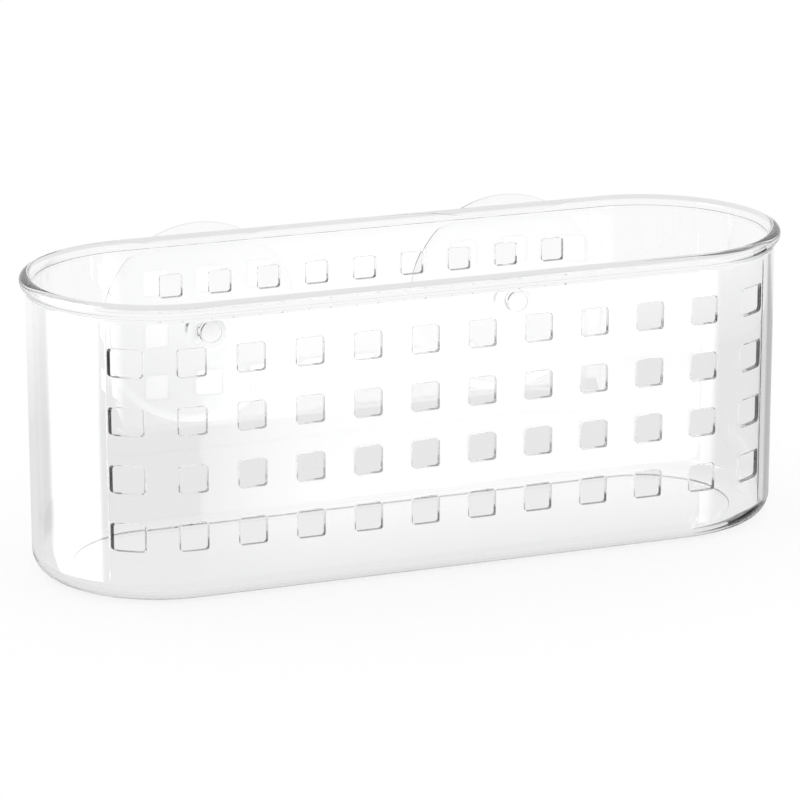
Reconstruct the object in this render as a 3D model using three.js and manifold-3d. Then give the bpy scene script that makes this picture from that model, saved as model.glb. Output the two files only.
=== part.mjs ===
// A shower basket for a tiled wall. One clear moulding makes the basket: an oblong
// tub with a rolled rim, a plain floor, a grid of square holes in its front and one
// row of them high in its back. Two soft suction cups hold it up, each by a stud that
// is pushed through a round hole in the back wall and turns freely there.
// Millimetres. X runs along the basket, +Y points at the wall that it hangs on, Z is
// up, and the origin is the centre of the flat underside.
import * as THREE from 'three';
import { mergeVertices } from 'three/addons/utils/BufferGeometryUtils.js';
import Module from 'manifold-3d';

const wasm = await Module();
wasm.setup();

// Basket, sizes over the rim
const length = 300;
const width = 103;
const height = 114;
const wall = 2.2;
const floor = 2.4;
const rimOverhang = 2.2; // how far the rolled rim stands out beyond the wall
const baseRadius = 8; // outside corner between the wall and the base

// Holes in the front, which reach round both ends as far as the mould's parting lines
const frontColumns = 12;
const frontRows = 4;
const frontHole = 11;
const frontFoot = 20.2; // base to the lowest row's lower edge
const frontDrop = 12.4; // foot of the rim to the top row's upper edge
const partingAngle = THREE.MathUtils.degToRad(40.3); // from the front, round each end
const partingLand = 1.1; // parting line to the nearest hole

// Holes in the back: one row, on the straight stretch only
const backColumns = 9;
const backHole = 9.4;
const backDrop = 10.6; // foot of the rim to the row's upper edge
const backLand = 14.8; // end of the straight stretch to the nearest hole

const holeCorner = 1.2; // corner radius of every square hole

// Suction cups
const cupSpacing = 127.2; // between the two stud axes
const cupHeight = 75; // base to the stud axes
const cupDiameter = 80;
const cupDepth = 12.7; // outside of the back wall to the plane of the lip
const lipWidth = 3;
const lipThickness = 0.9;
const hubDiameter = 17;
const hubDepth = 3.2;
const dishDepth = 6.4; // hollow of the dish, measured from the lip
const neckDiameter = 7.2;
const headDiameter = 12;
const headHeight = 3.6;
const skirtCrown = 0.66; // share of the radius where the skirt's back bends towards the lip
const dishCrown = 0.55; // the same for the hollow face
const fit = 0.3; // clearance between the stud and the wall, all round

// Facets
const ringSegments = 48;
const cupSegments = 36;
const studHoleSegments = 24;
const arcDivisions = 6;
const weld = 1e-4;

// What follows from the sizes above
const outerRadius = width / 2 - rimOverhang;
const innerRadius = outerRadius - wall;
const halfStraight = (length - width) / 2;
const beadRadius = (wall + rimOverhang) / 2;
const beadLevel = height - beadRadius;
const beadCentre = innerRadius + beadRadius;
const beadStart = Math.acos((outerRadius - beadCentre) / beadRadius);
const rimFoot = beadLevel - beadRadius * Math.sin(beadStart);
const floorRadius = Math.max(baseRadius - wall, wall);
const partingX = halfStraight + outerRadius * Math.sin(partingAngle);
const cupX = cupSpacing / 2;
const hubRadius = hubDiameter / 2;
const studHole = neckDiameter + 2 * fit;

// Only the shape of a geometry, with the points that fall together made one
function welded(geometry) {
  const bare = new THREE.BufferGeometry();
  bare.setAttribute('position', geometry.getAttribute('position'));
  bare.setIndex(geometry.getIndex());
  return mergeVertices(bare, weld);
}

// Solid from a geometry, without the slivers that a revolve leaves at its poles
function solid(geometry) {
  const shape = welded(geometry);
  const corners = shape.getIndex().array;
  const triVerts = [];
  for (let i = 0; i < corners.length; i += 3) {
    const [a, b, c] = corners.slice(i, i + 3);
    if (a !== b && b !== c && c !== a) triVerts.push(a, b, c);
  }
  const vertProperties = new Float32Array(shape.getAttribute('position').array);
  return new wasm.Manifold(new wasm.Mesh({ numProp: 3, vertProperties, triVerts: new Uint32Array(triVerts) }));
}

function meshOf(name, body, material) {
  const { vertProperties, triVerts } = body.getMesh();
  const geometry = new THREE.BufferGeometry();
  geometry.setAttribute('position', new THREE.BufferAttribute(vertProperties, 3));
  geometry.setIndex(new THREE.BufferAttribute(triVerts, 1));
  geometry.computeVertexNormals();
  const mesh = new THREE.Mesh(geometry, material);
  mesh.name = name;
  return mesh;
}

// A revolve about Z whose facets touch the true circle, pulled apart along X so that
// the circle becomes an oblong with two straight sides
function oblong(profile) {
  const halfFacet = Math.PI / ringSegments;
  const swell = 1 / Math.cos(halfFacet);
  const geometry = welded(new THREE.LatheGeometry(profile, ringSegments));
  geometry.rotateX(Math.PI / 2);
  geometry.rotateZ(halfFacet);
  geometry.scale(swell, swell, 1);
  const place = geometry.getAttribute('position');
  for (let i = 0; i < place.count; i += 1) {
    const x = place.getX(i);
    if (Math.abs(x) > weld) place.setX(i, x + Math.sign(x) * halfStraight);
  }
  return solid(geometry);
}

// Section of the tub from the middle of the base, up the outside, over the rolled rim,
// down the inside and back along the floor
function tubSection() {
  const section = new THREE.Path();
  section.moveTo(0, 0);
  section.lineTo(outerRadius - baseRadius, 0);
  section.absarc(outerRadius - baseRadius, baseRadius, baseRadius, -Math.PI / 2, 0, false);
  section.lineTo(outerRadius, rimFoot);
  section.absarc(beadCentre, beadLevel, beadRadius, -beadStart, Math.PI, false);
  section.absarc(innerRadius - floorRadius, floor + floorRadius, floorRadius, 0, -Math.PI / 2, true);
  section.lineTo(0, floor);
  return tidy(section.getPoints(arcDivisions));
}

// Drops points that fall on the one before them
function tidy(points) {
  return points.filter((point, i) => i === 0 || point.distanceTo(points[i - 1]) > weld);
}

function roundedSquare(side) {
  const half = side / 2;
  const inner = half - holeCorner;
  const shape = new THREE.Shape();
  shape.absarc(inner, -inner, holeCorner, -Math.PI / 2, 0, false);
  shape.absarc(inner, inner, holeCorner, 0, Math.PI / 2, false);
  shape.absarc(-inner, inner, holeCorner, Math.PI / 2, Math.PI, false);
  shape.absarc(-inner, -inner, holeCorner, Math.PI, 1.5 * Math.PI, false);
  return shape;
}

// Prism along Y, from the middle of the tub to well outside its front (-1) or back (1)
function punch(shape, side, x, z) {
  const reach = width / 2;
  const geometry = new THREE.ExtrudeGeometry(shape, { depth: reach, bevelEnabled: false, curveSegments: 1 });
  geometry.rotateX(Math.PI / 2);
  const start = side < 0 ? -innerRadius / 2 : innerRadius / 2 + reach;
  geometry.translate(x, start, z);
  return solid(geometry);
}

// Places of a row, spread evenly so that the outer edges of the end holes lie at the limits
function spread(count, hole, low, high) {
  const pitch = (high - low - hole) / (count - 1);
  return Array.from({ length: count }, (_, i) => low + hole / 2 + i * pitch);
}

function frontHoles() {
  const reach = partingX - partingLand;
  const xs = spread(frontColumns, frontHole, -reach, reach);
  const zs = spread(frontRows, frontHole, frontFoot, rimFoot - frontDrop);
  const shape = roundedSquare(frontHole);
  return xs.flatMap((x) => zs.map((z) => punch(shape, -1, x, z)));
}

// The back row leaves out each place that a cup's hub covers
function backHoles() {
  const reach = halfStraight - backLand;
  const z = rimFoot - backDrop - backHole / 2;
  const shape = roundedSquare(backHole);
  const hubReach = hubRadius + backHole / 2;
  const isFree = (x) => Math.hypot(Math.abs(x) - cupX, z - cupHeight) > hubReach;
  return spread(backColumns, backHole, -reach, reach).filter(isFree).map((x) => punch(shape, 1, x, z));
}

function studHoles() {
  const circle = new THREE.EllipseCurve(0, 0, studHole / 2, studHole / 2);
  const shape = new THREE.Shape(circle.getPoints(studHoleSegments).slice(1));
  return [-cupX, cupX].map((x) => punch(shape, 1, x, cupHeight));
}

function basket() {
  const cuts = [...frontHoles(), ...backHoles(), ...studHoles()];
  const body = cuts.reduce((rest, cut) => rest.subtract(cut), oblong(tubSection()));
  const clear = new THREE.MeshStandardMaterial({
    color: 0xf3f7f7,
    roughness: 0.06,
    metalness: 0,
    transparent: true,
    opacity: 0.35,
  });
  return meshOf('basket', body, clear);
}

// One soft moulding, turned about Y: a domed head inside the basket, the neck in the wall,
// a hub that bears on the outside of the wall, and a dished skirt that ends in a flat lip.
// Its zero is the outer face of the back wall.
function suctionCup(name, x) {
  const headSeat = -wall - fit;
  const lipRadius = cupDiameter / 2;
  const lipInner = lipRadius - lipWidth;
  const dishFloor = cupDepth - dishDepth;
  const hubBack = fit + hubDepth;
  const profile = new THREE.Path();
  profile.absellipse(0, headSeat, headDiameter / 2, headHeight, -Math.PI / 2, 0, false, 0);
  profile.lineTo(neckDiameter / 2, headSeat);
  profile.lineTo(neckDiameter / 2, fit);
  profile.lineTo(hubRadius, fit);
  profile.lineTo(hubRadius, hubBack);
  profile.quadraticCurveTo(lipRadius * skirtCrown, hubBack, lipRadius, cupDepth - lipThickness);
  profile.lineTo(lipRadius, cupDepth);
  profile.lineTo(lipInner, cupDepth);
  profile.quadraticCurveTo(lipInner * dishCrown, dishFloor, 0, dishFloor);
  const soft = new THREE.MeshStandardMaterial({
    color: 0xe6eaea,
    roughness: 0.3,
    metalness: 0,
    transparent: true,
    opacity: 0.6,
  });
  const turned = new THREE.LatheGeometry(tidy(profile.getPoints(arcDivisions)), cupSegments);
  const cup = meshOf(name, solid(turned), soft);
  cup.position.set(x, outerRadius, cupHeight);
  return cup;
}

const showerBasket = new THREE.Group();
showerBasket.add(basket());
showerBasket.add(suctionCup('left_suction_cup', -cupX));
showerBasket.add(suctionCup('right_suction_cup', cupX));

export default showerBasket;
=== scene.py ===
import math
import bpy
import numpy as np
from mathutils import Matrix, Vector


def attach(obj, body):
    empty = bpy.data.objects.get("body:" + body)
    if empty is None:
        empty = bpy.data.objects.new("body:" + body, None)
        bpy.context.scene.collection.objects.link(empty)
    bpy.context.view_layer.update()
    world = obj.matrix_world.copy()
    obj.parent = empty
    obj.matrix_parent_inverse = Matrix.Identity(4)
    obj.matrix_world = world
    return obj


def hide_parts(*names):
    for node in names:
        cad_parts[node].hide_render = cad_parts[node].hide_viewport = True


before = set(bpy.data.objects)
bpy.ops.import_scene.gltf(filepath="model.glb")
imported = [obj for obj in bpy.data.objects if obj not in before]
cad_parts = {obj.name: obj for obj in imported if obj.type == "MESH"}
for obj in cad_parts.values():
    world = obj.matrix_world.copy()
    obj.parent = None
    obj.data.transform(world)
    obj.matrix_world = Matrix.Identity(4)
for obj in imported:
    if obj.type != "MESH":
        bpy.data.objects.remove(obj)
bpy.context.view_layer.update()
mm = 0.001
print("frame loaded:", sorted(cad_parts))


# a new object in the scene from its data
def addObject(name, data):
    made = bpy.data.objects.new(name, data)
    bpy.context.scene.collection.objects.link(made)
    return made


# Meshes
weldDigits = 4  # points are one when they agree to this many digits of a millimetre
weldShift = 1.37e-5  # keeps round values away from the edge between two roundings


# quads of a grid of rows by columns, and of its closing column where it goes right round
def gridQuads(rows, columns, closed):
    across = columns if closed else columns - 1
    r, c = np.meshgrid(np.arange(rows - 1), np.arange(across), indexing="ij")
    d = (c + 1) % columns
    corners = [r * columns + c, r * columns + d, (r + 1) * columns + d, (r + 1) * columns + c]
    return np.stack(corners, -1).reshape(-1, 4)


# collects patches in millimetres; a patch is a grid of points with the normal at each
class Sheets:
    def __init__(self):
        self.points, self.normals, self.quads, self.caps, self.count = [], [], [], [], 0

    def grid(self, points, normals, closed=False):
        rows, columns = points.shape[:2]
        self.points.append(points.reshape(-1, 3))
        self.normals.append(np.broadcast_to(normals, points.shape).reshape(-1, 3))
        self.quads.append(gridQuads(rows, columns, closed) + self.count)
        self.count += rows * columns

    # a flat face round a closed ring of points
    def cap(self, ring, normal):
        self.points.append(ring)
        self.normals.append(np.broadcast_to(np.array(normal, float), ring.shape))
        self.caps.append(np.arange(len(ring)) + self.count)
        self.count += len(ring)

    # welds points that fall together, turns every face to its normals, drops collapsed corners
    def mesh(self, name):
        points, normals = np.concatenate(self.points), np.concatenate(self.normals)
        rounded = np.round(points + weldShift, weldDigits)
        _, first, same = np.unique(rounded, axis=0, return_index=True, return_inverse=True)
        same = same.reshape(-1)
        welded = points[first]
        summed = np.zeros_like(welded)
        np.add.at(summed, same, normals)
        summed /= np.maximum(np.linalg.norm(summed, axis=1, keepdims=True), 1e-9)
        quads = same[np.concatenate(self.quads)]
        a, b, c, d = (welded[quads[:, k]] for k in range(4))
        facing = np.cross(c - a, d - b)
        wrong = np.einsum("ij,ij->i", facing, summed[quads].sum(1)) < 0
        quads[wrong] = quads[wrong, ::-1]
        alike = quads == np.roll(quads, -1, axis=1)
        faces = quads[~alike.any(1)].tolist()
        single = alike.sum(1) == 1  # a quad with two corners in one is a triangle
        faces += quads[single][~alike[single]].reshape(-1, 3).tolist()
        for cap in self.caps:
            ring = same[cap]
            corner = welded[ring]
            area = np.cross(corner, np.roll(corner, -1, axis=0)).sum(0)
            faces.append((ring if area @ summed[ring[0]] > 0 else ring[::-1]).tolist())
        data = bpy.data.meshes.new(name)
        data.from_pydata((welded * mm).tolist(), [], faces, shade_flat=False)
        data.normals_split_custom_set_from_vertices(summed.tolist())
        print(name, len(welded), "points", len(faces), "faces")
        return addObject(name, data)


# Basket, all sizes in millimetres
basketSpec = {
    "halfStraight": 98.5,
    "outerRadius": 49.3,
    "innerRadius": 47.1,
    "floorLevel": 2.4,
    "baseRadius": 8.0,
    "height": 114.0,
    "beadRadius": 2.425,
    "beadInset": 0.225,  # the bead's middle, inside the wall's outer face
    "rimFillet": 4.0,
    "rimFilletIn": 1.5,
    "stepInset": 15.5,  # from the wall's outer face to the floor's shallow step
    "stepDepth": 0.5,
    "stepEdge": 0.2,
    "rows": 4,
    "frontHole": 11.0,
    "frontColumns": 12,
    "frontReach": 129.29,
    "frontLevels": (20.2, 97.2),
    "frontEnd": 130.04,  # where the pierced front meets the plain ends
    "backHole": 9.4,
    "backColumns": 9,
    "backReach": 83.7,
    "backLevels": (30.4, 99.0),
    "holeCorner": 1.2,
    "edge": 0.26,  # radius of every hole's edges
    "studX": 63.6,
    "studLevel": 75.0,
    "studHole": 3.9,
    "ridgeAngle": 40.3,  # degrees from the front to the seam
    "ridgeHeight": 0.2,
    "ridgeWidth": 0.4,  # half of it
    "ridgeFade": 4.0,  # the seam runs out over this height below the rim
    "ridgeSteps": 14,
    "perSide": 8,
    "cellShares": (0.0, 0.3, 0.56, 0.78, 0.92, 1.0),  # rings between a cell's border and its hole
    "edgeTurns": (22.5, 45.0, 67.5, 90.0),
    "turnSteps": 72,
    "turnShare": 0.96,  # share of the rows' slide that is done on the round end
    "straightSteps": 4,
    "bandSteps": 3,
    "filletSteps": 10,
    "beadSteps": 32,
    "filletInSteps": 6,
    "cornerSteps": 14,
    "stepSteps": 6,
}


# middles of a row of holes whose outer edges lie at the two limits
def spread(count, hole, low, high):
    return low + hole / 2 + np.arange(count) * (high - low - hole) / (count - 1)


# limits of the cells round those middles, half a pitch away from each
def cellLimits(middles):
    half = (middles[1] - middles[0]) / 2
    return np.append(middles - half, middles[-1] + half)


# every limit with perSide equal steps between it and the next
def stepped(limits, perSide):
    steps = np.arange(perSide) / perSide
    lines = limits[:-1, None] + np.diff(limits)[:, None] * steps
    return np.append(lines.reshape(-1), limits[-1])


# place on an oblong wall: a centre that slides along the straight, an angle from the front, a radius
def onWall(centre, angle, radius, level):
    parts = np.broadcast_arrays(centre + radius * np.sin(angle), -radius * np.cos(angle), level)
    return np.stack(parts, -1)


# the way straight out of that wall: sine of the angle along X, minus its cosine along Y
def wallNormal(angle):
    parts = np.broadcast_arrays(np.sin(angle), -np.cos(angle), 0.0)
    return np.stack(parts, -1)


# one side of a rounded square from corner middle to corner middle, turned to make the other three:
# spine points on the inner square, and the way out from it
def squareOutline(half, corner, perSide):
    inner = half - corner
    quarter = perSide // 4
    arc = np.radians(225 + 45 * np.arange(quarter + 1) / quarter)
    run = np.linspace(-inner, inner, perSide // 2 + 1)[1:]
    angle = np.concatenate([arc, np.full(len(run), 1.5 * np.pi), (arc + np.pi / 4)[1:-1]])
    spineX = np.concatenate([np.full(len(arc), -inner), run, np.full(quarter - 1, inner)])
    spine = np.stack([spineX, np.full(len(spineX), -inner)], -1)
    out = np.stack([np.cos(angle), np.sin(angle)], -1)
    quarters = np.arange(4) * np.pi / 2
    turns = [np.array([[math.cos(t), -math.sin(t)], [math.sin(t), math.cos(t)]]) for t in quarters]
    return np.concatenate([spine @ t.T for t in turns]), np.concatenate([out @ t.T for t in turns])


# the border of a cell, counted round from its lower left corner
def cellBorder(x0, x1, z0, z1, perSide):
    t = np.arange(perSide) / perSide
    xs = [x0 + (x1 - x0) * t, np.full(perSide, x1), x1 + (x0 - x1) * t, np.full(perSide, x0)]
    zs = [np.full(perSide, z0), z0 + (z1 - z0) * t, np.full(perSide, z1), z1 + (z0 - z1) * t]
    return np.stack([np.concatenate(xs), np.concatenate(zs)], -1)


# one cell of a pierced wall: rings run from its border to the hole on the outer face, round a small
# edge, straight through along Y, round the inner edge and back out to the border on the inner face
def piercedCell(sheets, spec, side, border, spine, out, radius):
    h, edge = spec["halfStraight"], spec["edge"]
    share = np.array(spec["cellShares"])[:, None, None]
    turn = np.radians(spec["edgeTurns"])[:, None, None]
    rim = spine + (radius + edge) * out
    flat = border + (rim - border) * share
    bent = spine + (radius + edge * (1 - np.sin(turn))) * out
    places = np.concatenate([flat, bent])
    depth = np.concatenate([np.zeros(len(share)), edge * (1 - np.cos(turn[:, 0, 0]))])[:, None]
    lean = np.concatenate([np.zeros(len(share)), turn[:, 0, 0]])[:, None, None]
    x, z = places[..., 0], places[..., 1]
    centre = np.clip(x, -h, h)
    into = np.stack([-out[:, 0], np.zeros(len(out)), -out[:, 1]], -1)
    faces = []
    for wall, sign in ((spec["outerRadius"], 1), (spec["innerRadius"], -1)):
        angle = np.arcsin((x - centre) / wall)
        points = onWall(centre, angle, wall, z)
        normals = wallNormal(angle) * sign
        points[..., 1] += sign * depth
        normals = normals * np.cos(lean) + into * np.sin(lean)
        normals /= np.linalg.norm(normals, axis=-1, keepdims=True)
        points[..., 1] *= -side
        normals[..., 1] *= -side
        faces.append((points, normals))
    points = np.concatenate([faces[0][0], faces[1][0][::-1]])
    normals = np.concatenate([faces[0][1], faces[1][1][::-1]])
    sheets.grid(points, normals, closed=True)


# one cell without a hole: the same wall on both faces
def plainCell(sheets, spec, side, x0, x1, z0, z1):
    h, perSide = spec["halfStraight"], spec["perSide"]
    x, z = np.meshgrid(np.linspace(x0, x1, perSide + 1), np.linspace(z0, z1, perSide + 1))
    centre = np.clip(x, -h, h)
    for wall, sign in ((spec["outerRadius"], 1), (spec["innerRadius"], -1)):
        angle = np.arcsin((x - centre) / wall)
        points, normals = onWall(centre, angle, wall, z), wallNormal(angle) * sign
        points[..., 1] *= -side
        normals[..., 1] *= -side
        sheets.grid(points, normals)


# a wall cell by cell: holes all over the front (-1), and in the back (1) only in the top row
# and at the studs, where the hole is a circle
def piercedWall(sheets, spec, side, xs, zs, xLimits, zLimits, hole):
    perSide = spec["perSide"]
    spine, out = squareOutline(hole / 2 - spec["edge"], spec["holeCorner"], perSide)
    ringAngle = np.radians(225 + 360 * np.arange(4 * perSide) / (4 * perSide))
    ringOut = np.stack([np.cos(ringAngle), np.sin(ringAngle)], -1)
    for i, x in enumerate(xs):
        for k, z in enumerate(zs):
            limits = xLimits[i], xLimits[i + 1], zLimits[k], zLimits[k + 1]
            border = cellBorder(*limits, perSide)
            toStud = math.hypot(abs(x) - spec["studX"], z - spec["studLevel"])
            if side > 0 and toStud < hole:
                at = np.array([math.copysign(spec["studX"], x), spec["studLevel"]])
                piercedCell(sheets, spec, side, border, at, ringOut, spec["studHole"])
            elif side < 0 or k == len(zs) - 1:
                piercedCell(sheets, spec, side, border, spine + [x, z], out, spec["holeCorner"])
            else:
                plainCell(sheets, spec, side, *limits)


# a fine seam that stands out from the wall as one wave of a cosine, and its slope along the wall
def seam(spec, angle):
    away = (angle - math.radians(spec["ridgeAngle"])) * spec["outerRadius"]
    apart = np.clip(away / spec["ridgeWidth"], -1, 1)
    height = spec["ridgeHeight"] * (1 + np.cos(np.pi * apart)) / 2
    return height, -np.pi / 2 * spec["ridgeHeight"] / spec["ridgeWidth"] * np.sin(np.pi * apart)


# arc of a section: places (radius, level) and normals that point away from its centre (1) or to it (-1)
def arc2d(middle, level, radius, start, end, steps, way):
    turn = np.linspace(start, end, steps + 1)
    over, up = np.cos(turn), np.sin(turn)
    return np.stack([middle + radius * over, level + radius * up, way * over, way * up], -1)


# a section carried right round the oblong: every place of it at every station
def sweep(sheets, centre, angle, section):
    r, z, over, up = (section[:, k, None] for k in range(4))
    points = onWall(centre, angle, r, z)
    normals = wallNormal(angle + 0 * r) * over[..., None]
    normals[..., 2] = up
    sheets.grid(points, normals, closed=True)
    return points


# values at the stations right round: front from left to right, right end, back from right to left,
# and the left end as the right one backwards, mirrored (-1) or the same (1)
def allRound(front, end, back, mirror):
    return np.concatenate([front, end[1:-1], back, mirror * end[-2:0:-1]])


# walls cell by cell, round ends that join them, then the rim, the floor and the base as sections
# that are carried right round; outer and inner faces share the stations, so that they close
def buildBasket(spec):
    sheets = Sheets()
    h, ro, ri, perSide = spec["halfStraight"], spec["outerRadius"], spec["innerRadius"], spec["perSide"]
    frontX = spread(spec["frontColumns"], spec["frontHole"], -spec["frontReach"], spec["frontReach"])
    frontZ = spread(spec["rows"], spec["frontHole"], *spec["frontLevels"])
    backX = spread(spec["backColumns"], spec["backHole"], -spec["backReach"], spec["backReach"])
    backZ = spread(spec["rows"], spec["backHole"], *spec["backLevels"])
    frontXLimits, frontZLimits = cellLimits(frontX), cellLimits(frontZ)
    frontXLimits[0], frontXLimits[-1] = -spec["frontEnd"], spec["frontEnd"]
    backXLimits, backZLimits = cellLimits(backX), cellLimits(backZ)
    piercedWall(sheets, spec, -1, frontX, frontZ, frontXLimits, frontZLimits, spec["frontHole"])
    piercedWall(sheets, spec, 1, backX, backZ, backXLimits, backZLimits, spec["backHole"])

    # the plain ends: the wall's rows slide from the front's levels to the back's on the way round
    frontLines, backLines = stepped(frontZLimits, perSide), stepped(backZLimits, perSide)
    ridge = np.linspace(-1, 1, spec["ridgeSteps"] + 1) * spec["ridgeWidth"] / ro
    nearSeam = math.radians(spec["ridgeAngle"]) + ridge
    startOut = math.asin((spec["frontEnd"] - h) / ro)
    startIn = math.asin((spec["frontEnd"] - h) / ri)
    past = np.linspace(nearSeam[-1], np.pi, spec["turnSteps"] + 1)[1:]
    arc = np.concatenate([[startOut], nearSeam, past])
    straightSteps, turnShare = spec["straightSteps"], spec["turnShare"]
    straight = np.linspace(h, backXLimits[-1], straightSteps + 1)[1:]
    endOut = np.concatenate([arc, np.full(straightSteps, np.pi)])
    progress = (arc - startOut) / (np.pi - startOut)
    endIn = np.concatenate([startIn + progress * (np.pi - startIn), np.full(straightSteps, np.pi)])
    endCentre = np.concatenate([np.full(len(arc), h), straight])
    rest = np.arange(1, straightSteps + 1) / straightSteps
    along = np.concatenate([progress * turnShare, turnShare + (1 - turnShare) * rest])
    slide = along * along * (3 - 2 * along)
    lines = frontLines[:, None] + (backLines - frontLines)[:, None] * slide
    flip = np.array([-1.0, 1.0, 1.0])
    for wall, angle, sign in ((ro, endOut, 1), (ri, endIn, -1)):
        height, slope = seam(spec, angle) if sign > 0 else (0 * angle, 0 * angle)
        points = onWall(endCentre, angle, wall + height, lines)
        normals = sign * wallNormal(angle - np.arctan(slope)) + 0 * points
        sheets.grid(points, normals)
        sheets.grid(points * flip, normals * flip)

    # stations right round
    frontLine, backLine = stepped(frontXLimits, perSide), stepped(backXLimits, perSide)[::-1]
    frontCentre = np.clip(frontLine, -h, h)
    inFront, behind = 0 * frontLine, 0 * backLine
    centre = allRound(frontCentre, endCentre, backLine, -1)
    angleOut = allRound(np.arcsin((frontLine - frontCentre) / ro), endOut, behind + np.pi, -1)
    angleIn = allRound(np.arcsin((frontLine - frontCentre) / ri), endIn, behind + np.pi, -1)
    top = allRound(inFront + frontLines[-1], lines[-1], behind + backLines[-1], 1)
    foot = allRound(inFront + frontLines[0], lines[0], behind + backLines[0], 1)
    bump, slope = seam(spec, np.abs(angleOut))
    bump[:len(frontLine)] = 0
    slope = np.where(bump > 0, slope, 0) * np.sign(angleOut)

    # the rim's bead sits a little inside the wall's outer face, with a hollow fillet to each face
    fillet, filletIn, bead = spec["rimFillet"], spec["rimFilletIn"], spec["beadRadius"]
    beadRun, beadLevel = ro - spec["beadInset"], spec["height"] - bead
    tilt = math.acos((ro + fillet - beadRun) / (bead + fillet))
    tiltIn = math.acos((beadRun - ri + filletIn) / (bead + filletIn))
    filletLevel = beadLevel - (bead + fillet) * math.sin(tilt)
    filletLevelIn = beadLevel - (bead + filletIn) * math.sin(tiltIn)

    # plain bands of wall between the pierced part and the rim, and below it down to the corner
    floorRadius = spec["baseRadius"] - (ro - ri)
    inCorner = spec["floorLevel"] + floorRadius
    share = (np.arange(spec["bandSteps"] + 1) / spec["bandSteps"])[:, None]
    upOut = top + (filletLevel - top) * share
    fade = np.clip((filletLevel - upOut) / spec["ridgeFade"], 0, 1)
    bandOut = onWall(centre, angleOut, ro + bump * fade, upOut)
    sheets.grid(bandOut, wallNormal(angleOut - slope * fade), closed=True)
    upIn = top + (filletLevelIn - top) * share
    swing = angleIn + (angleOut - angleIn) * share
    sheets.grid(onWall(centre, swing, ri, upIn), -wallNormal(swing), closed=True)
    downOut = foot + (spec["baseRadius"] - foot) * share
    fade = 1 - share
    bandOut = onWall(centre, angleOut, ro + bump * fade, downOut)
    sheets.grid(bandOut, wallNormal(angleOut - slope * fade), closed=True)
    downIn = foot + (inCorner - foot) * share
    sheets.grid(onWall(centre, angleIn, ri, downIn), -wallNormal(angleIn), closed=True)

    # rim: outer fillet, bead, inner fillet
    rim = np.concatenate([
        arc2d(ro + fillet, filletLevel, fillet, np.pi, np.pi - tilt, spec["filletSteps"], -1),
        arc2d(beadRun, beadLevel, bead, -tilt, np.pi + tiltIn, spec["beadSteps"], 1),
        arc2d(ri - filletIn, filletLevelIn, filletIn, tiltIn, 0.0, spec["filletInSteps"], -1),
    ])
    sweep(sheets, centre, angleOut, rim)

    # lower corners: outside with the base, inside with the floor and its shallow step
    corner, cornerSteps, stepSteps = spec["baseRadius"], spec["cornerSteps"], spec["stepSteps"]
    base = arc2d(ro - corner, corner, corner, 0.0, -np.pi / 2, cornerSteps, 1)
    edge, run, floorLevel = spec["stepEdge"], ro - spec["stepInset"], spec["floorLevel"]
    low = floorLevel - spec["stepDepth"]
    floor = np.concatenate([
        arc2d(ri - floorRadius, inCorner, floorRadius, 0.0, -np.pi / 2, cornerSteps, -1),
        arc2d(run + edge, floorLevel - edge, edge, np.pi / 2, np.pi, stepSteps, 1),
        arc2d(run - edge, low + edge, edge, 0.0, -np.pi / 2, stepSteps, -1),
    ])
    for section, angle, up in ((base, angleOut, -1), (floor, angleIn, 1)):
        sheets.cap(sweep(sheets, centre, angle, section)[-1], (0, 0, up))
    return sheets.mesh("clear_basket")


# Suction cups: (radius, distance out from the back wall), one moulding turned about its stud
cupSpec = {
    "axisX": basketSpec["studX"],
    "level": basketSpec["studLevel"],
    "wallY": basketSpec["outerRadius"],
    "wall": 2.2,
    "fit": 0.3,
    "head": (6.0, 3.6),  # radius and height of the dome
    "neck": 3.6,
    "hub": (8.5, 3.5),  # radius, and how far out it ends
    "lip": (40.0, 37.0),  # outer and inner radius
    "lipThickness": 0.9,
    "depth": 12.7,
    "dishFloor": 6.3,
    "skirtCrown": 0.66,
    "dishCrown": 0.55,
    "round": 0.35,
    "domeSteps": 14,
    "skirtSteps": 24,
    "roundSteps": 5,
    "segments": 96,
}


# a quadratic arc from a to c that bends at b
def bow(a, b, c, steps):
    t = np.linspace(0, 1, steps + 1)[:, None]
    a, b, c = np.array(a), np.array(b), np.array(c)
    return (1 - t) ** 2 * a + 2 * t * (1 - t) * b + t * t * c


# drops the first stretch of a run, measured along it
def trimRun(run, length):
    far = np.concatenate([[0], np.cumsum(np.linalg.norm(np.diff(run, axis=0), axis=1))])
    start = [np.interp(length, far, run[:, k]) for k in range(2)]
    return np.concatenate([[start], run[far > length + 1e-6]])


# joins runs of points, and rounds each join by a small quadratic arc across the corner
def roundedProfile(runs, size, steps):
    trimmed = []
    for i, run in enumerate(runs):
        cut = run.copy()
        step = min(size, np.linalg.norm(np.diff(run, axis=0), axis=1).sum() / 3)
        if i > 0:
            cut = trimRun(cut, step)
        if i < len(runs) - 1:
            cut = trimRun(cut[::-1], step)[::-1]
        trimmed.append(cut)
    profile = [trimmed[0]]
    for before, after, run in zip(trimmed, trimmed[1:], runs[1:]):
        profile += [bow(before[-1], run[0], after[0], steps)[1:-1], after]
    return np.concatenate(profile)


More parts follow.
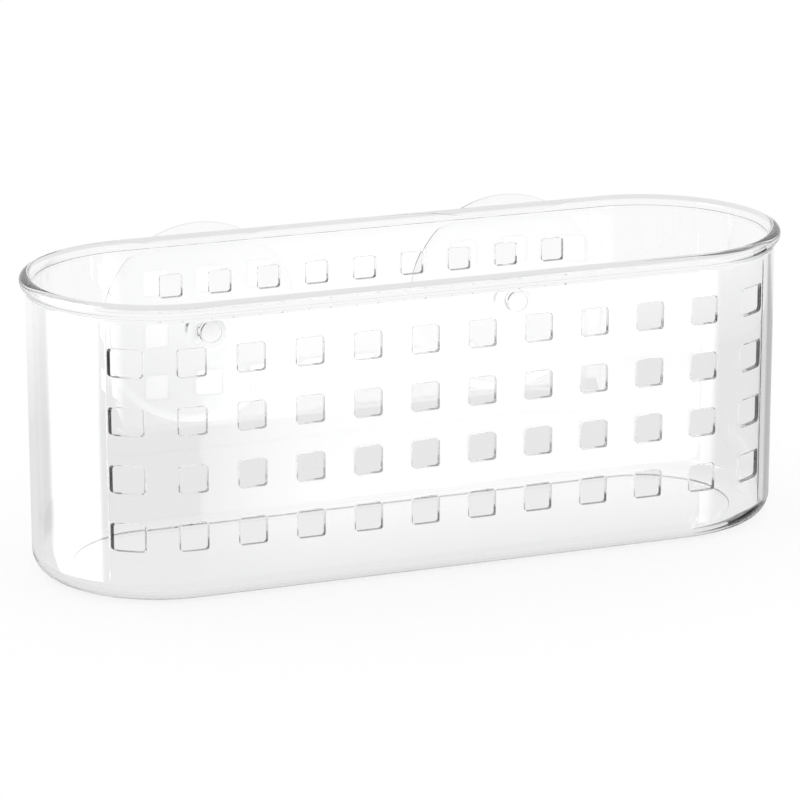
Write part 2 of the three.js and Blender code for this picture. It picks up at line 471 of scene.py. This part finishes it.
# section of a cup: a quarter of an ellipse for the head, straight seat, neck and hub, a skirt that
# bows out to the lip, and a hollow face that bows back to the axis
def cupProfile(spec):
    seat, hubOut = -spec["wall"] - spec["fit"], spec["hub"][1]
    dome = np.linspace(-np.pi / 2, 0, spec["domeSteps"] + 1)
    head = np.stack([spec["head"][0] * np.cos(dome), seat + spec["head"][1] * np.sin(dome)], -1)
    neck, hub, fit, steps = spec["neck"], spec["hub"][0], spec["fit"], spec["skirtSteps"]
    (lip, lipIn), depth, dish = spec["lip"], spec["depth"], spec["dishFloor"]
    edge = depth - spec["lipThickness"]
    runs = [
        head,
        np.array([[head[-1, 0], seat], [neck, seat]]),
        np.array([[neck, seat], [neck, fit]]),
        np.array([[neck, fit], [hub, fit]]),
        np.array([[hub, fit], [hub, hubOut]]),
        bow((hub, hubOut), (lip * spec["skirtCrown"], hubOut), (lip, edge), steps),
        np.array([[lip, edge], [lip, depth]]),
        np.array([[lip, depth], [lipIn, depth]]),
        bow((lipIn, depth), (lipIn * spec["dishCrown"], dish), (0.0, dish), steps),
    ]
    return roundedProfile(runs, spec["round"], spec["roundSteps"])


# the profile turned about the stud's axis, which lies along Y
def buildCup(name, spec, side):
    profile = cupProfile(spec)
    way = np.gradient(profile, axis=0)
    way /= np.linalg.norm(way, axis=1, keepdims=True)
    way[0], way[-1] = (1, 0), (-1, 0)
    spin = np.linspace(0, 2 * np.pi, spec["segments"], endpoint=False)
    r, out = profile[:, 0, None], profile[:, 1, None]
    x, z = side * spec["axisX"] + r * np.cos(spin), spec["level"] + r * np.sin(spin)
    points = np.stack(np.broadcast_arrays(x, spec["wallY"] + out, z), -1)
    nr, nOut = way[:, 1, None], -way[:, 0, None]
    normals = np.stack(np.broadcast_arrays(nr * np.cos(spin), nOut, nr * np.sin(spin)), -1)
    sheets = Sheets()
    sheets.grid(points, normals, closed=True)
    return sheets.mesh(name)


# Materials

# wraps a socket: sums and products of values become Math nodes, and node() makes any other
class Wire:
    def __init__(self, tree, socket=None):
        self.tree, self.socket = tree, socket

    def node(self, kind, settings, inputs, out=0):
        made = self.tree.nodes.new(kind)
        for key, value in settings.items():
            setattr(made, key, value)
        for key, value in inputs.items():
            if isinstance(value, Wire):
                self.tree.links.new(value.socket, made.inputs[key])
            else:
                made.inputs[key].default_value = value
        return Wire(self.tree, made.outputs[out] if len(made.outputs) else None)

    # another output of the node that this wire comes from
    def sibling(self, out):
        return Wire(self.tree, self.socket.node.outputs[out])

    def math(self, operation, *values):
        return self.node("ShaderNodeMath", {"operation": operation}, dict(enumerate(values)))

    def __add__(self, other):
        return self.math("ADD", self, other)

    __radd__ = __add__

    def __sub__(self, other):
        return self.math("SUBTRACT", self, other)

    def __rsub__(self, other):
        return self.math("SUBTRACT", other, self)

    def __mul__(self, other):
        return self.math("MULTIPLY", self, other)

    __rmul__ = __mul__

    # from the low colour at 0 to the high one at 1; 6, 7 and 2 are the Mix node's colour sockets
    def mixColour(self, low, high):
        inputs = {"Factor": self, 6: low, 7: high}
        return self.node("ShaderNodeMix", {"data_type": "RGBA"}, inputs, out=2)


# an empty node material and a wire to build it with
def newMaterial(name):
    material = bpy.data.materials.new(name)
    material.use_nodes = True
    material.node_tree.nodes.clear()
    return material, Wire(material.node_tree)


# a moulded clear plastic: faint flow marks in tint and polish, a slow waviness of the surface,
# and a body that takes some light on a long way through it
def clearMaterial(name, spec):
    material, wire = newMaterial(name)
    place = wire.node("ShaderNodeTexCoord", {}, {}, out="Object")
    flow = wire.node("ShaderNodeMapping", {}, {"Vector": place, "Scale": spec["flowScale"]})
    streak = wire.node("ShaderNodeTexNoise", {}, {
        "Vector": flow, "Scale": spec["flow"], "Detail": spec["flowDetail"],
    }, out="Fac")
    fine = wire.node("ShaderNodeTexNoise", {}, {
        "Vector": place, "Scale": spec["fine"], "Detail": spec["fineDetail"],
    }, out="Fac")
    tint = streak.mixColour(spec["tintLow"], spec["tintHigh"])
    rough = fine * spec["roughSpan"] + spec["roughLow"]
    bump = wire.node("ShaderNodeBump", {}, {
        "Height": streak, "Strength": spec["wave"], "Distance": spec["waveDepth"],
    })
    shader = wire.node("ShaderNodeBsdfPrincipled", {}, {
        "Base Color": tint, "Roughness": rough, "IOR": spec["ior"],
        "Transmission Weight": spec["clear"], "Normal": bump,
    })
    depth = wire.node("ShaderNodeVolumeAbsorption", {}, {"Color": spec["bodyTint"], "Density": spec["body"]})
    wire.node("ShaderNodeOutputMaterial", {}, {"Surface": shader, "Volume": depth})
    return material


plasticSpec = {
    "flowScale": (1.0, 1.0, 0.35),
    "flow": 40.0,
    "flowDetail": 2.0,
    "fine": 900.0,
    "fineDetail": 3.0,
    "tintLow": (0.985, 0.99, 0.988, 1),
    "tintHigh": (1.0, 1.0, 1.0, 1),
    "roughLow": 0.0,
    "roughSpan": 0.015,
    "wave": 0.15,
    "waveDepth": 0.0002,
    "ior": 1.57,
    "clear": 1.0,
    "bodyTint": (0.9, 0.9, 0.9, 1),
    "body": 50.0,
}
vinylSpec = {
    "flowScale": (1.0, 1.0, 1.0),
    "flow": 120.0,
    "flowDetail": 2.0,
    "fine": 700.0,
    "fineDetail": 3.0,
    "tintLow": (0.975, 0.98, 0.98, 1),
    "tintHigh": (0.995, 0.995, 0.995, 1),
    "roughLow": 0.04,
    "roughSpan": 0.04,
    "wave": 0.05,
    "waveDepth": 0.0003,
    "ior": 1.22,
    "clear": 1.0,
    "bodyTint": (0.9, 0.9, 0.9, 1),
    "body": 20.0,
}
clearPlastic = clearMaterial("clear_moulding", plasticSpec)
softVinyl = clearMaterial("soft_clear_vinyl", vinylSpec)

basket = buildBasket(basketSpec)
basket.data.materials.append(clearPlastic)
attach(basket, "basket")
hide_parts("basket")
for name, body, side in (("left_cup_vinyl", "left_cup", -1), ("right_cup_vinyl", "right_cup", 1)):
    cup = buildCup(name, cupSpec, side)
    cup.data.materials.append(softVinyl)
    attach(cup, body)
    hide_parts("left_suction_cup" if side < 0 else "right_suction_cup")
print("pieces built")


# Studio: metres and the object's own axes
studioSpec = {
    "floorSize": 6.0,
    "floorLevel": -0.0003,
    "floorTone": 0.2,
    "floorGlow": 0.81,
    "daylight": 1.0,
    "frontTone": 0.92,  # what mirrors and clear pieces see of the room in front
    "throughTone": 0.806,  # and behind
    "frontEdge": -0.2,
    "backEdge": 0.2,
}
# cards round the object: middle, the two half sides, and the tone at the foot and at the top
cardSpecs = {
    "front_softbox": {
        "middle": (0.385, -1.0, -0.206), "across": (0.235, 0, 0), "up": (0, 0, 0.086),
        "tones": (2.7, 1.0), "fades": (0.4, 0),
    },
    "wide_softbox": {
        "middle": (0.385, -0.99, -0.23), "across": (0.235, 0, 0), "up": (0, 0, 0.11),
        "tones": (0.8, 3.8), "rises": (0.0, 0.24), "fades": (0.3, 0), "mirroredOnly": True,
    },
    "side_softbox": {
        "middle": (0.885, -1.0, -0.295), "across": (0.265, 0, 0), "up": (0, 0, 0.175),
        "tones": (1.4, 5.3), "rises": (0.1, 0.5), "fades": (0, 0.65), "mirroredOnly": True,
    },
    "left_softbox": {
        "middle": (-0.31, 0.02, 0.13), "across": (0, 0.125, 0), "up": (0, 0, 0.187),
        "tones": (6.2, 6.2), "fades": (0.1, 0.3), "mirroredOnly": True,
    },
    "right_flag": {
        "middle": (0.932, 0.7255, 0.0), "across": (0.161, -0.1755, 0), "up": (0, 0, 0.4),
        "tones": (0.5, 0.03), "rises": (0.27, 0.42),
    },
    "far_flag": {
        "middle": (1.1645, 0.227, 0.1), "across": (0.0715, -0.323, 0), "up": (0, 0, 0.3),
        "tones": (0.8, 0.0), "rises": (0.1, 0.3),
    },
    "low_flag": {
        "middle": (0.932, 0.7255, -0.8), "across": (0.161, -0.1755, 0), "up": (0, 0, 0.4),
        "tones": (0.02, 0.02),
    },
    "far_low_flag": {
        "middle": (1.1645, 0.227, -0.8), "across": (0.0715, -0.323, 0), "up": (0, 0, 0.4),
        "tones": (0.02, 0.02),
    },
    # pale backdrop, darker at its foot: painted shade for the basket's shadow on the floor close behind it
    "backdrop_painted_shade": {
        "middle": (0.1, 0.3, 0.3915), "across": (1.5, 0, 0), "up": (0, 0, 0.4215),
        "tones": (0.83, 0.98), "rises": (0.0, 0.055),
    },
}


# a flat card from its middle and its two half sides; its tone rises evenly from the foot to the top
# between two shares of its height, and it can fade to nothing over a share of its width at either
# end; only mirrored and refracted rays see it, or mirrored ones alone
def card(name, middle, across, up, tones, rises=(0.0, 1.0), fades=(0.0, 0.0), mirroredOnly=False):
    a, b, m = np.array(across), np.array(up), np.array(middle)
    corners = [m - a - b, m + a - b, m + a + b, m - a + b]
    data = bpy.data.meshes.new(name)
    data.from_pydata([c.tolist() for c in corners], [], [(0, 1, 2, 3)])
    piece = addObject(name, data)
    data.uv_layers.new(name="across_up").data.foreach_set("uv", [0, 0, 1, 0, 1, 1, 0, 1])
    material, wire = newMaterial(name)
    onCard = wire.node("ShaderNodeUVMap", {}, {})
    place = wire.node("ShaderNodeSeparateXYZ", {}, {"Vector": onCard}, out="X")
    tone = wire.node("ShaderNodeMapRange", {}, {
        "Value": place.sibling("Y"), "From Min": rises[0], "From Max": rises[1],
        "To Min": tones[0], "To Max": tones[1],
    })
    light = wire.node("ShaderNodeEmission", {}, {"Strength": tone})
    for inward, fade in ((place, fades[0]), (1 - place, fades[1])):
        if fade:
            cover = wire.node("ShaderNodeMapRange", {"interpolation_type": "SMOOTHSTEP"}, {
                "Value": inward, "From Min": 0.0, "From Max": fade,
            })
            clear = wire.node("ShaderNodeBsdfTransparent", {}, {})
            light = wire.node("ShaderNodeMixShader", {}, {0: cover, 1: clear, 2: light})
    wire.node("ShaderNodeOutputMaterial", {}, {"Surface": light})
    data.materials.append(material)
    for ray in ("camera", "diffuse", "volume_scatter", "shadow"):
        setattr(piece, "visible_" + ray, False)
    piece.visible_transmission = not mirroredOnly


# a matt square just under the object, which keeps its shadow; the camera also sees it glow, up to
# white, and mirrored and refracted rays see the room in its place
def buildFloor(spec):
    half, level = spec["floorSize"] / 2, spec["floorLevel"]
    corners = [(-half, -half, level), (half, -half, level), (half, half, level), (-half, half, level)]
    data = bpy.data.meshes.new("floor")
    data.from_pydata(corners, [], [(0, 1, 2, 3)])
    floor = addObject("floor", data)
    material, wire = newMaterial("pale_floor")
    tone = spec["floorTone"]
    matt = wire.node("ShaderNodeBsdfDiffuse", {}, {"Color": (tone, tone, tone, 1)})
    seen = wire.node("ShaderNodeLightPath", {}, {}, out="Is Camera Ray")
    glow = wire.node("ShaderNodeEmission", {}, {"Strength": seen * spec["floorGlow"]})
    shader = wire.node("ShaderNodeAddShader", {}, {0: matt, 1: glow})
    wire.node("ShaderNodeOutputMaterial", {}, {"Surface": shader})
    data.materials.append(material)
    floor.visible_glossy = False
    floor.visible_transmission = False


# plain daylight all round, white to the camera; mirrored and refracted rays see a room whose tone
# goes smoothly from the front's to the back's with the ray's share of Y
def buildWorld(spec):
    world = bpy.data.worlds.new("studio")
    bpy.context.scene.world = world
    world.use_nodes = True
    world.node_tree.nodes.clear()
    wire = Wire(world.node_tree)
    camera = wire.node("ShaderNodeLightPath", {}, {}, out="Is Camera Ray")
    mirrored, through = camera.sibling("Is Glossy Ray"), camera.sibling("Is Transmission Ray")
    tones = (spec["daylight"], spec["frontTone"], spec["throughTone"])
    day, front, behind = ((tone, tone, tone, 1) for tone in tones)
    way = wire.node("ShaderNodeTexCoord", {}, {}, out="Generated")
    depth = wire.node("ShaderNodeSeparateXYZ", {}, {"Vector": way}, out="Y")
    turned = wire.node("ShaderNodeMapRange", {"interpolation_type": "SMOOTHSTEP"}, {
        "Value": depth, "From Min": spec["frontEdge"], "From Max": spec["backEdge"],
    })
    room = turned.mixColour(front, behind)
    shade = wire.math("MAXIMUM", mirrored, through).mixColour(day, room)
    colour = camera.mixColour(shade, (1, 1, 1, 1))
    background = wire.node("ShaderNodeBackground", {}, {"Color": colour, "Strength": 1.0})
    wire.node("ShaderNodeOutputWorld", {}, {"Surface": background})


buildFloor(studioSpec)
buildWorld(studioSpec)
for name, spec in cardSpecs.items():
    card(name, **spec)
print("studio set")


# Camera at the photograph's angle
cameraSpec = {
    "place": (-0.5308, -1.4124, 0.5006),
    "target": (-0.003219, 0.0, 0.053978),
    "roll": -0.102,  # degrees
    "lens": 185.535,
    "sensor": 36.0,
    "clip": (0.05, 30),
}


# axes from the line of sight: across is level, up stands on both, and both turn by the roll
def buildCamera(spec):
    data = bpy.data.cameras.new("camera")
    data.lens, data.sensor_width, data.sensor_fit = spec["lens"], spec["sensor"], "HORIZONTAL"
    data.clip_start, data.clip_end = spec["clip"]
    place, target = Vector(spec["place"]), Vector(spec["target"])
    ahead = (target - place).normalized()
    right = ahead.cross(Vector((0, 0, 1))).normalized()
    up = right.cross(ahead)
    turn = math.radians(spec["roll"])
    across = right * math.cos(turn) + up * math.sin(turn)
    over = up * math.cos(turn) - right * math.sin(turn)
    matrix = Matrix((across, over, -ahead)).transposed().to_4x4()
    matrix.translation = place
    camera = addObject("camera", data)
    camera.matrix_world = matrix
    bpy.context.scene.camera = camera


buildCamera(cameraSpec)
bpy.context.scene.view_settings.view_transform = "Standard"
cycles = bpy.context.scene.cycles  # light goes a long way round inside clear walls
cycles.max_bounces = 512
cycles.transmission_bounces = 128
cycles.glossy_bounces = 256
